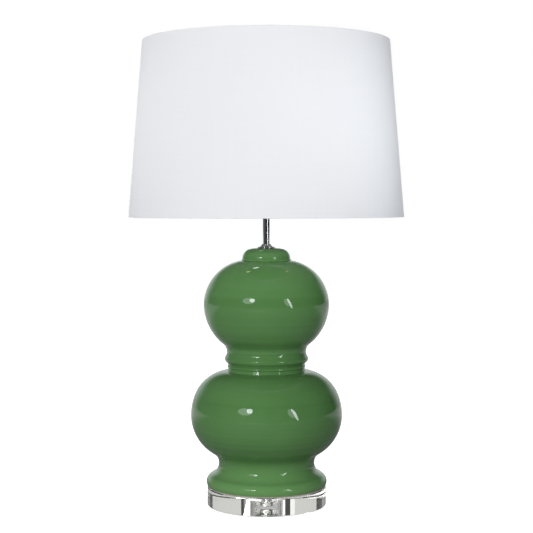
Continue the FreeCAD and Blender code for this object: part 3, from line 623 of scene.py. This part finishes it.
# %% Outline of the body
def body_outline():
    """The outside from the foot's edge to the neck hole, then the inside back down to the foot.

    The centres of the arcs come first, each pair from the curve before it. Then the arcs are drawn.
    """
    foot_curve = facing_curve(FOOT_RADIUS - ANKLE_RADIUS, ANKLE_HEIGHT - FOOT_WIDEST, ANKLE_CURVE)
    under_curve = facing_curve(LOWER_RADIUS - ANKLE_RADIUS, LOWER_HEIGHT - ANKLE_HEIGHT, ANKLE_CURVE)
    rise_curve = facing_curve(UPPER_RADIUS - WAIST_RADIUS, UPPER_RISE, WAIST_CURVE)
    waist_foot = WAIST_RADIUS - SMALL_BEAD_INSET
    foot_low = (FOOT_RADIUS - FOOT_ROUND, FOOT_Z + FOOT_WIDEST)
    foot = (FOOT_RADIUS - foot_curve, FOOT_Z + FOOT_WIDEST)
    ankle = (ANKLE_RADIUS + ANKLE_CURVE, FOOT_Z + ANKLE_HEIGHT)
    under = (LOWER_RADIUS - under_curve, FOOT_Z + LOWER_HEIGHT)
    shoulder = (LOWER_RADIUS - SHOULDER_CURVE, under[1])
    turn = on_circle(shoulder, SHOULDER_CURVE, SHOULDER_TURN)
    top = on_circle(turn, -LOWER_TOP_CURVE, SHOULDER_TURN)
    lower_top = height_on(top, LOWER_TOP_CURVE, waist_foot)
    small = (waist_foot - SMALL_BEAD_CURVE, lower_top + SMALL_BEAD_RISE)
    large = (WAIST_RADIUS + LARGE_BEAD_PROUD - LARGE_BEAD_CURVE, small[1] + LARGE_BEAD_RISE)
    waist = (WAIST_RADIUS + WAIST_CURVE, large[1] + WAIST_RISE)
    rise = (UPPER_RADIUS - rise_curve, waist[1] + UPPER_RISE)
    crown = (UPPER_RADIUS - CROWN_CURVE, rise[1])
    collar_top = height_on(crown, CROWN_CURVE, COLLAR_FOOT) + COLLAR_HEIGHT
    dome = (COLLAR_FLAT, collar_top - COLLAR_DOME)
    lean = math.acos((COLLAR_RADIUS - COLLAR_ROUND - COLLAR_FLAT) / (COLLAR_DOME - COLLAR_ROUND))
    collar = on_circle(dome, COLLAR_DOME - COLLAR_ROUND, lean)
    foot_edge = foot_low[0] + math.sqrt(FOOT_ROUND ** 2 - FOOT_WIDEST ** 2)

    shape = Outline(foot_edge, FOOT_Z).arc(foot_low, FOOT_RADIUS, foot[1])
    shape.arc(foot, *touch(foot, foot_curve, ankle, ANKLE_CURVE))
    shape.arc(ankle, ANKLE_RADIUS, ankle[1])
    shape.arc(ankle, *touch(ankle, ANKLE_CURVE, under, under_curve))
    shape.arc(under, LOWER_RADIUS, under[1])
    shape.arc(shoulder, *turn)
    shape.arc(top, waist_foot, lower_top)
    shape.line(*on_circle(small, SMALL_BEAD_CURVE, -GROOVE_TURN), parts=3)
    shape.arc(small, *on_circle(small, SMALL_BEAD_CURVE, GROOVE_TURN), longest=BEAD_STEP)
    shape.line(*on_circle(large, LARGE_BEAD_CURVE, -BEAD_TURN), parts=2)
    shape.arc(large, *touch(large, LARGE_BEAD_CURVE, waist, WAIST_CURVE), longest=BEAD_STEP)
    shape.arc(waist, WAIST_RADIUS, waist[1])
    shape.arc(waist, *touch(waist, WAIST_CURVE, rise, rise_curve))
    shape.arc(rise, UPPER_RADIUS, rise[1])
    shape.arc(crown, COLLAR_FOOT, height_on(crown, CROWN_CURVE, COLLAR_FOOT))
    shape.line(COLLAR_RADIUS, collar[1], parts=3)
    shape.arc(collar, *on_circle(dome, COLLAR_DOME, lean))
    shape.arc(dome, COLLAR_FLAT, collar_top)
    shape.line(NECK_HOLE + RIM_ROUND, collar_top, parts=3)
    shape.arc((NECK_HOLE + RIM_ROUND, collar_top - RIM_ROUND), NECK_HOLE, collar_top - RIM_ROUND)

    inner_neck, inner_waist, inner_ankle = COLLAR_INSIDE, waist_foot - WALL, ANKLE_RADIUS - WALL
    shape.line(NECK_HOLE, collar_top - WALL).line(inner_neck, collar_top - WALL, parts=3)
    shape.line(inner_neck, height_on(crown, CROWN_CURVE - WALL, inner_neck))
    shape.arc(crown, UPPER_RADIUS - WALL, crown[1], longest=INSIDE_STEP)
    shape.arc(rise, inner_waist, height_on(rise, rise_curve - WALL, inner_waist, -1), longest=INSIDE_STEP)
    shape.line(inner_waist, height_on(top, LOWER_TOP_CURVE - WALL, inner_waist))
    shape.arc(top, *on_circle(shoulder, SHOULDER_CURVE - WALL, SHOULDER_TURN), longest=INSIDE_STEP)
    shape.arc(shoulder, LOWER_RADIUS - WALL, shoulder[1], longest=INSIDE_STEP)
    shape.arc(under, *touch(under, under_curve - WALL, ankle, ANKLE_CURVE + WALL), longest=INSIDE_STEP)
    shape.arc(ankle, inner_ankle, ankle[1], longest=INSIDE_STEP)
    mouth = foot_edge - FOOT_RING
    shape.arc(ankle, mouth, height_on(ankle, ANKLE_CURVE + WALL, mouth, -1), longest=INSIDE_STEP)
    shape.line(mouth, FOOT_Z, parts=4)
    return shape


BODY_OUTLINE = body_outline()
print("body outline:", len(BODY_OUTLINE.points), "points")

# %% [markdown]
# ## Turning and drilling the body
# A rubber grommet sits in a hole at the back of the foot. A spin can't leave a hole in one side, and
# faces deleted there would leave the wall open. So a drill is cut from the turned body with a Boolean
# modifier.


# %% Turning and drilling the body
def drill_cord_hole(piece):
    """Cuts the hole that the rubber grommet sits in, through the back of the foot."""
    low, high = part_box("cable_grommet")
    middle = (0, (low.y + high.y) / 2, (low.z + high.z) / 2)
    bpy.ops.mesh.primitive_cylinder_add(vertices=CORD_HOLE_STEPS, radius=CORD_HOLE, depth=4 * WALL,
                                        location=middle, rotation=(math.pi / 2, 0, 0))
    drill = bpy.context.active_object
    cut = piece.modifiers.new("cord hole", "BOOLEAN")
    cut.operation, cut.object, cut.solver = "DIFFERENCE", drill, "EXACT"
    select_only(piece)
    bpy.ops.object.modifier_apply(modifier=cut.name)
    bpy.data.objects.remove(drill)
    return finish_mesh(piece)


stands_for(drill_cord_hole(turned("gourd_body", BODY_OUTLINE)), GREEN_GLAZE, "ceramic_body")

# %% [markdown]
# ## Clear base
# The base is a disc of cast acrylic, sawn, turned and flame-polished, with a small bevel at both edges
# and a recess below for the nut and the washers. It must be truly clear, because its look comes from
# what bends through it. So it has a plain transmission, a real refractive index, and only the faintest
# unevenness of the polish.

# %% Clear base
BASE_LOW, BASE_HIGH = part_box("base_disc")
BASE_BEVEL = 0.0010
BASE_RECESS, BASE_RECESS_DEPTH, BASE_HOLE = 0.0170, 0.0110, 0.0054
BASE_STEPS = 256
TOOL_MARKS = 2500.0
ACRYLIC_TINT, ACRYLIC_IOR = (0.965, 0.97, 0.955, 1), 1.49
NEAR = 0.0001


def make_clear_acrylic():
    finish = Finish("clear acrylic", Base_Color=ACRYLIC_TINT, Roughness=0.0, IOR=ACRYLIC_IOR,
                    Transmission_Weight=1.0)
    polish = finish.effect(MOTTLE, Vector=finish.place(), Drift_Scale=25.0, Grain_Scale=160.0,
                           Grain_Share=0.1)
    return finish.bump(polish["Tone"], 0.00004, 0.25)


def make_drilled_acrylic():
    """The drilled hole and the recess keep the drill's fine marks."""
    finish = Finish("drilled acrylic", Base_Color=ACRYLIC_TINT, IOR=ACRYLIC_IOR, Transmission_Weight=1.0)
    marks = finish.effect(TURNED_LINES, Vector=finish.place(), Lines_per_Metre=TOOL_MARKS)["Tone"]
    return finish.feed("Roughness", finish.spread(marks, 0.16, 0.34)).bump(marks, 0.00002, 0.4)


def make_base():
    radius, low, high = BASE_HIGH.x, BASE_LOW.z, BASE_HIGH.z
    ceiling = low + BASE_RECESS_DEPTH
    shape = Outline(BASE_RECESS, low).line(radius - BASE_BEVEL, low, parts=8)
    shape.line(radius, low + BASE_BEVEL).line(radius, high - BASE_BEVEL, parts=4)
    shape.line(radius - BASE_BEVEL, high).line(BASE_HOLE, high, parts=8)
    shape.line(BASE_HOLE, ceiling).line(BASE_RECESS, ceiling)
    piece = stands_for(turned("clear_base_disc", shape, BASE_STEPS), CLEAR_ACRYLIC, "base_disc")
    piece.data.materials.append(DRILLED_ACRYLIC.material)
    for face in piece.data.polygons:
        reach = math.hypot(face.center.x, face.center.y)
        face.material_index = int(reach < BASE_RECESS + NEAR and face.center.z < high - NEAR)


CLEAR_ACRYLIC = make_clear_acrylic()
DRILLED_ACRYLIC = make_drilled_acrylic()
make_base()

# %% [markdown]
# ## Metals
# Polished chrome shows the room, broken only by fine polishing marks and a breath of haze. Bright zinc
# on the hidden fasteners is duller and a little uneven. The brass of the contacts is stamped from
# sheet. The bulb's cap is nickel plate. One even roughness would make each look like foil, so the fine
# marks of its tool vary it.


# %% Metals
def make_metal(name, tones, roughness, depth=0.00001):
    finish = Finish(name, Metallic=1.0)
    place = finish.place()
    mottle = finish.effect(MOTTLE, Vector=place, Drift_Scale=80.0, Grain_Scale=1600.0, Grain_Share=0.35)
    marks = finish.effect(TURNED_LINES, Vector=place, Lines_per_Metre=TOOL_MARKS)["Tone"]
    finish.paint(mottle["Tone"], tones)
    return finish.feed("Roughness", finish.spread(marks, *roughness)).bump(marks, depth, 0.3)


CHROME = make_metal("polished chrome", ((0.70, 0.70, 0.71), (0.80, 0.80, 0.81)), (0.02, 0.06), depth=0.000004)
ZINC = make_metal("bright zinc", ((0.42, 0.43, 0.43), (0.60, 0.60, 0.58)), (0.28, 0.45), depth=0.00003)
BRASS = make_metal("stamped brass", ((0.62, 0.44, 0.17), (0.78, 0.60, 0.29)), (0.22, 0.38))
NICKEL = make_metal("nickel plate", ((0.60, 0.58, 0.54), (0.72, 0.70, 0.66)), (0.16, 0.30))
print("metals made")

# %% [markdown]
# ## Neck cap and tube
# A turned cap sits on the collar and is tapped for the lamp tube, which rises from it into the shade.
# Both are polished, so their edges are rounded: a sharp edge would show no highlight.

# %% Neck cap and tube
CAP_RIM, CAP_ROUND, CAP_CONE, CAP_BORE, CAP_FLARE = 0.0016, 0.0006, 0.0070, 0.00505, 0.0050
CAP_LIP, CAP_SEAT, CAP_NECK = 0.0020, 0.0010, 0.00096
TUBE_WALL, TUBE_BEVEL = 0.0010, 0.0003
TUBE_STEPS, TUBE_RINGS = 96, 30
FINE_STEP = 0.0002


def make_neck_cap():
    low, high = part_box("neck_cap")
    bottom, top, radius = low.z, high.z, high.x
    rim = radius - CAP_ROUND
    shape = Outline(CAP_BORE, bottom + CAP_SEAT).line(rim - CAP_LIP, bottom + CAP_SEAT)
    shape.line(rim - CAP_LIP, bottom).line(rim, bottom)
    shape.arc((rim, bottom + CAP_ROUND), radius, bottom + CAP_ROUND, longest=FINE_STEP)
    shape.line(radius, bottom + CAP_RIM - CAP_ROUND)
    shape.arc((rim, bottom + CAP_RIM - CAP_ROUND), rim, bottom + CAP_RIM, longest=FINE_STEP)
    start, end = (radius - CAP_RIM, bottom + CAP_RIM), (CAP_CONE, top - CAP_NECK)
    shape.line(*start, parts=2)
    chord = math.dist(start, end)
    bow = math.sqrt(CAP_FLARE ** 2 - (chord / 2) ** 2)
    flare = ((start[0] + end[0]) / 2 + bow * (end[1] - start[1]) / chord,
             (start[1] + end[1]) / 2 + bow * (start[0] - end[0]) / chord)
    shape.arc(flare, *end, longest=2 * FINE_STEP).line(CAP_CONE, top - CAP_ROUND)
    shape.arc((CAP_CONE - CAP_ROUND, top - CAP_ROUND), CAP_CONE - CAP_ROUND, top, longest=FINE_STEP)
    shape.line(CAP_BORE, top)
    stands_for(turned("turned_neck_cap", shape, TUBE_STEPS), CHROME, "neck_cap")


def make_tube():
    low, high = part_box("lamp_tube")
    radius, bore = high.x, high.x - TUBE_WALL
    shape = Outline(bore, low.z).line(radius - TUBE_BEVEL, low.z).line(radius, low.z + TUBE_BEVEL)
    shape.line(radius, high.z - TUBE_BEVEL, parts=TUBE_RINGS)
    shape.line(radius - TUBE_BEVEL, high.z).line(bore, high.z)
    stands_for(turned("polished_tube", shape, TUBE_STEPS), CHROME, "lamp_tube")


make_neck_cap()
make_tube()

# %% [markdown]
# ## Shade cloth
# The shade is white cloth bonded to a stiff styrene liner. Object coordinates would cut straight through
# the weave where the shade curves away, so the weave follows the surface in UV: across is the length
# round the shade, and up is the height, both in metres. The liner is smooth sheet, and object coordinates
# do for its faint grain.

# %% Shade cloth
FABRIC_TONES = ((0.820, 0.822, 0.845), (0.862, 0.864, 0.887))
STYRENE_TONES = ((0.82, 0.82, 0.80), (0.88, 0.88, 0.87))


def make_white_cloth():
    finish = Finish("white cloth", Roughness=0.9, Sheen_Weight=0.15, Sheen_Roughness=0.5,
                    Specular_IOR_Level=0.25)
    uv = finish.node("UVMap", uv_map="cloth").outputs["UV"]
    weave = finish.effect(PLAIN_WEAVE, Vector=uv, Threads_per_Metre=1500.0, Slub=0.6)
    return finish.paint(weave["Tone"], FABRIC_TONES, 0.25, 0.75).bump(weave["Height"], 0.00006, 0.5)


def make_styrene():
    finish = Finish("white styrene", Roughness=0.45, IOR=1.59)
    mottle = finish.effect(MOTTLE, Vector=finish.place(), Drift_Scale=9.0, Grain_Scale=1200.0,
                           Grain_Share=0.4)
    finish.paint(mottle["Tone"], STYRENE_TONES)
    finish.feed("Roughness", finish.spread(mottle["Tone"], 0.38, 0.55))
    return finish.bump(mottle["Height"], 0.00005, 0.4)


WHITE_CLOTH = make_white_cloth()
WHITE_STYRENE = make_styrene()
print("cloth and styrene made")

# %% [markdown]
# ## Cloth panel
# The cloth is cut as one panel, rolled to a tapered drum and glued at the back in a narrow overlap. A
# plain cone would have no overlap, so one slanted line is swept a little past a full turn, and its free
# end is lifted by more than the cloth's thickness.

# %% Cloth panel
FABRIC_STEPS, FABRIC_ROWS = 256, 24
CLOTH_THICKNESS = 0.0005
OVERLAP, OVERLAP_LIFT = 0.012, 0.0006
BACK = math.pi / 2
RIM_NEAR = 0.001


def lay_cloth(piece, radius):
    """Maps UV in metres: u round the shade at a mean radius, from the back, and v is the height."""
    layer = piece.data.uv_layers.new(name="cloth")
    for face in piece.data.polygons:
        middle = math.atan2(face.center.y, face.center.x)
        for loop in face.loop_indices:
            place = piece.data.vertices[piece.data.loops[loop].vertex_index].co
            angle = math.atan2(place.y, place.x)
            angle += 2 * math.pi * round((middle - angle) / (2 * math.pi))
            layer.data[loop].uv = ((angle - BACK) * radius, place.z)


def make_fabric():
    """The cloth panel: one slanted line at the back, swept past a full turn, its free end on top."""
    low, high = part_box("shade_fabric")
    top_radius = max(v.co.x for v in nodes["shade_fabric"].data.vertices if v.co.z > high.z - RIM_NEAR)
    outline = Outline(high.x, low.z).line(top_radius, high.z, parts=FABRIC_ROWS)
    piece = draw_section("cloth_panel", outline.points, BACK)
    turn = 2 * math.pi + OVERLAP / top_radius
    bpy.ops.mesh.select_all(action="SELECT")
    bpy.ops.mesh.spin(steps=FABRIC_STEPS, angle=turn, center=(0, 0, 0), axis=(0, 0, 1))
    bpy.ops.object.mode_set(mode="OBJECT")
    rows = len(outline.points)
    column_step = turn / FABRIC_STEPS
    for vertex in piece.data.vertices:
        # the spin adds its columns in order, so a vertex's number gives the turn that it has made
        past = (vertex.index // rows) * column_step - (turn - OVERLAP / top_radius)
        lift = OVERLAP_LIFT * min(1, max(0, past / column_step + 1.0))
        reach = math.hypot(vertex.co.x, vertex.co.y)
        vertex.co.x *= (reach + lift) / reach
        vertex.co.y *= (reach + lift) / reach
    finish_mesh(piece)
    lay_cloth(piece, (high.x + top_radius) / 2)
    thicken = piece.modifiers.new("thickness", "SOLIDIFY")
    thicken.thickness, thicken.offset = CLOTH_THICKNESS, -1
    bpy.ops.object.modifier_apply(modifier=thicken.name)
    bpy.ops.object.shade_smooth_by_angle(angle=SMOOTH_ANGLE)
    stands_for(piece, WHITE_CLOTH, "shade_fabric")


make_fabric()

# %% [markdown]
# ## Turned hems
# At both edges the cloth runs on past the liner, turns in round the wire and is glued down inside. The
# cloth's edge could simply be thickened, but it would lack the bead that the wire makes. So a hem is that
# turned strip: a tight round over the edge, a tube round the wire, and a flat tail.

# %% Turned hems
HEM_REACH, HEM_ROUND, HEM_STEP = 0.0024, 0.0005, 0.0005
HEM_TURN, HEM_NEAR = math.radians(60), 0.0006
TAIL, TAIL_BEND = 0.00045, 0.003
SHADE_SLANT = 21 / 253


def make_hem(name, node, wire_node, at_top):
    """The strip's section, worked out from the wire, the liner and the cloth's edge that it covers."""
    way = 1 if at_top else -1
    low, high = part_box(node)
    wire_low, wire_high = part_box(wire_node)
    cloth_low, cloth_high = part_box("shade_fabric")
    rim, edge, tail = (high.z, cloth_high.z, low.z) if at_top else (low.z, cloth_low.z, high.z)
    liner = [(math.hypot(v.co.x, v.co.y), v.co.z) for v in nodes["shade_liner"].data.vertices]
    liner_edge = min(radius for radius, z in liner if abs(z - edge) < RIM_NEAR)
    liner_tail = liner_edge + (edge - tail) * SHADE_SLANT
    wire = (wire_high.x - (wire_high.z - wire_low.z) / 2, (wire_high.z + wire_low.z) / 2)
    upper = [v.co.x for v in nodes[node].data.vertices if v.co.z > high.z - HEM_NEAR]
    outer = max(upper) if at_top else high.x
    shape = Outline(outer, edge).line(outer, rim - way * HEM_ROUND)
    shape.arc((outer - HEM_ROUND, rim - way * HEM_ROUND), outer - HEM_ROUND, rim, longest=FINE_STEP)
    shape.line(wire[0], wire[1] + way * HEM_REACH)
    shape.arc(wire, wire[0] - HEM_REACH, wire[1], longest=HEM_STEP)
    last = on_circle(wire, HEM_REACH, math.pi + way * HEM_TURN)
    shape.arc(wire, *last, longest=HEM_STEP)
    bend = last[1] - way * TAIL_BEND
    shape.line(liner_edge + (edge - bend) * SHADE_SLANT - TAIL, bend)
    shape.line(liner_tail - TAIL, tail, parts=3).line(liner_tail, tail).line(liner_edge, edge, parts=4)
    piece = turned(name, shape, FABRIC_STEPS)
    lay_cloth(piece, outer)
    stands_for(piece, WHITE_CLOTH, node)


make_hem("turned_top_hem", "top_hem", "top_wire", True)
make_hem("turned_bottom_hem", "bottom_hem", "bottom_wire", False)

# %% [markdown]
# ## Plastics and paint
# Plastics, rubber, porcelain, glass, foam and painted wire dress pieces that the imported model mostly
# shapes well enough already. Each could have a tree of its own, but they differ only in colour, gloss and
# grain, so one function makes them all.


# %% Plastics and paint
def make_plastic(name, tones, roughness, grain=1400.0, depth=0.00003, **sockets):
    finish = Finish(name, **sockets)
    mottle = finish.effect(MOTTLE, Vector=finish.place(), Drift_Scale=40.0, Grain_Scale=grain,
                           Grain_Share=0.4)
    finish.paint(mottle["Tone"], tones)
    finish.feed("Roughness", finish.spread(mottle["Tone"], *roughness))
    return finish.bump(mottle["Height"], depth, 0.5)


HOLDER_PLASTIC = make_plastic("holder plastic", ((0.78, 0.78, 0.76), (0.84, 0.84, 0.82)), (0.25, 0.38))
SWITCH_PLASTIC = make_plastic("switch plastic", ((0.72, 0.72, 0.70), (0.80, 0.80, 0.78)), (0.22, 0.34))
BULB_PLASTIC = make_plastic("bulb housing", ((0.83, 0.83, 0.82), (0.88, 0.88, 0.87)), (0.28, 0.4))
OPAL = make_plastic("opal diffuser", ((0.88, 0.88, 0.86), (0.92, 0.92, 0.90)), (0.30, 0.42),
                    Subsurface_Weight=0.25, Subsurface_Scale=0.004)
WIRE_PAINT = make_plastic("white powder coat", ((0.80, 0.80, 0.79), (0.87, 0.87, 0.86)), (0.35, 0.5),
                          grain=500.0, depth=0.00008)
PORCELAIN = make_plastic("porcelain", ((0.78, 0.76, 0.71), (0.86, 0.85, 0.81)), (0.45, 0.6))
BLACK_RUBBER = make_plastic("black rubber", ((0.018, 0.018, 0.018), (0.035, 0.035, 0.034)), (0.55, 0.75))
CLEAR_PAD = make_plastic("clear pad", ((0.80, 0.81, 0.80), (0.88, 0.89, 0.88)), (0.15, 0.3),
                         Transmission_Weight=0.85, IOR=1.45)
FOAM = make_plastic("foam gasket", ((0.66, 0.64, 0.57), (0.78, 0.76, 0.70)), (0.8, 0.95), depth=0.0001)
BLACK_GLASS = make_plastic("black glass", ((0.012, 0.012, 0.013), (0.022, 0.022, 0.023)), (0.06, 0.14))
WHITE_BOARD = make_plastic("light board", ((0.76, 0.77, 0.76), (0.84, 0.85, 0.84)), (0.3, 0.45))
print("plastics and paint made")

# %% [markdown]
# ## Soft feet
# Four clear bumpers keep the base off the table. Each is a low dome of soft, slightly cloudy plastic
# with a flat back. A squashed ball would be rounder than that, so one is turned from its real section,
# and the others are copies of it.

# %% Soft feet
FOOT_PAD_RADIUS, FOOT_PAD_CIRCLE, FOOT_PAD_GAP, FOOT_PAD_CROWN = 0.0060, 0.0680, 0.00004, 0.0150
FOOT_PAD_EDGE, FOOT_PAD_FACET, FOOT_PAD_STEPS = 0.0006, 0.001, 32


def make_feet():
    height = BASE_LOW.z - FOOT_PAD_GAP
    drop = FOOT_PAD_CROWN - math.sqrt(FOOT_PAD_CROWN ** 2 - (FOOT_PAD_RADIUS - FOOT_PAD_EDGE) ** 2)
    shape = Outline(0, height).line(FOOT_PAD_RADIUS, height, parts=2)
    shape.line(FOOT_PAD_RADIUS, drop + FOOT_PAD_EDGE / 2).line(FOOT_PAD_RADIUS - FOOT_PAD_EDGE, drop)
    shape.arc((0, FOOT_PAD_CROWN), 0, 0, longest=FOOT_PAD_FACET)
    piece = draw_section("soft_feet", shape.points)
    bpy.ops.mesh.select_all(action="SELECT")
    bpy.ops.mesh.spin(steps=FOOT_PAD_STEPS, angle=2 * math.pi, center=(0, 0, 0), axis=(0, 0, 1))
    bpy.ops.mesh.select_all(action="SELECT")
    bpy.ops.mesh.remove_doubles(threshold=MERGE)
    corner = FOOT_PAD_CIRCLE / math.sqrt(2)
    bpy.ops.transform.translate(value=(corner, corner, 0))
    for across, along in ((-2, 0), (0, -2), (2, 0)):
        step = (across * corner, along * corner, 0)
        bpy.ops.mesh.duplicate_move(TRANSFORM_OT_translate={"value": step})
    bpy.ops.object.mode_set(mode="OBJECT")
    stands_for(finish_mesh(piece), CLEAR_PAD, "base_pads")


make_feet()

# %% [markdown]
# ## Finishes by slot
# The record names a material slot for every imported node. A finish could be given node by node, but by
# slot it reaches all the pieces that are made of the same stuff.

# %% Finishes by slot
finishes = {
    "clear_rubber": CLEAR_PAD, "zinc_steel": ZINC, "foam_gasket": FOAM, "black_rubber": BLACK_RUBBER,
    "chrome_tube": CHROME, "holder_plastic": HOLDER_PLASTIC, "porcelain": PORCELAIN, "brass_contact": BRASS,
    "switch_plastic": SWITCH_PLASTIC, "white_wire": WIRE_PAINT, "shade_liner": WHITE_STYRENE,
    "white_linen": WHITE_CLOTH, "nickel_cap": NICKEL, "black_glass": BLACK_GLASS,
    "bulb_plastic": BULB_PLASTIC, "light_board": WHITE_BOARD, "opal_dome": OPAL,
    "clear_base": CLEAR_ACRYLIC, "green_glaze": GREEN_GLAZE,
}
for part in frame["record"]["subparts"]:
    nodes[part["node"]].material_slots[0].material = finishes[part["material_slot"]].material
print(len(finishes), "finishes on", len(nodes), "nodes")
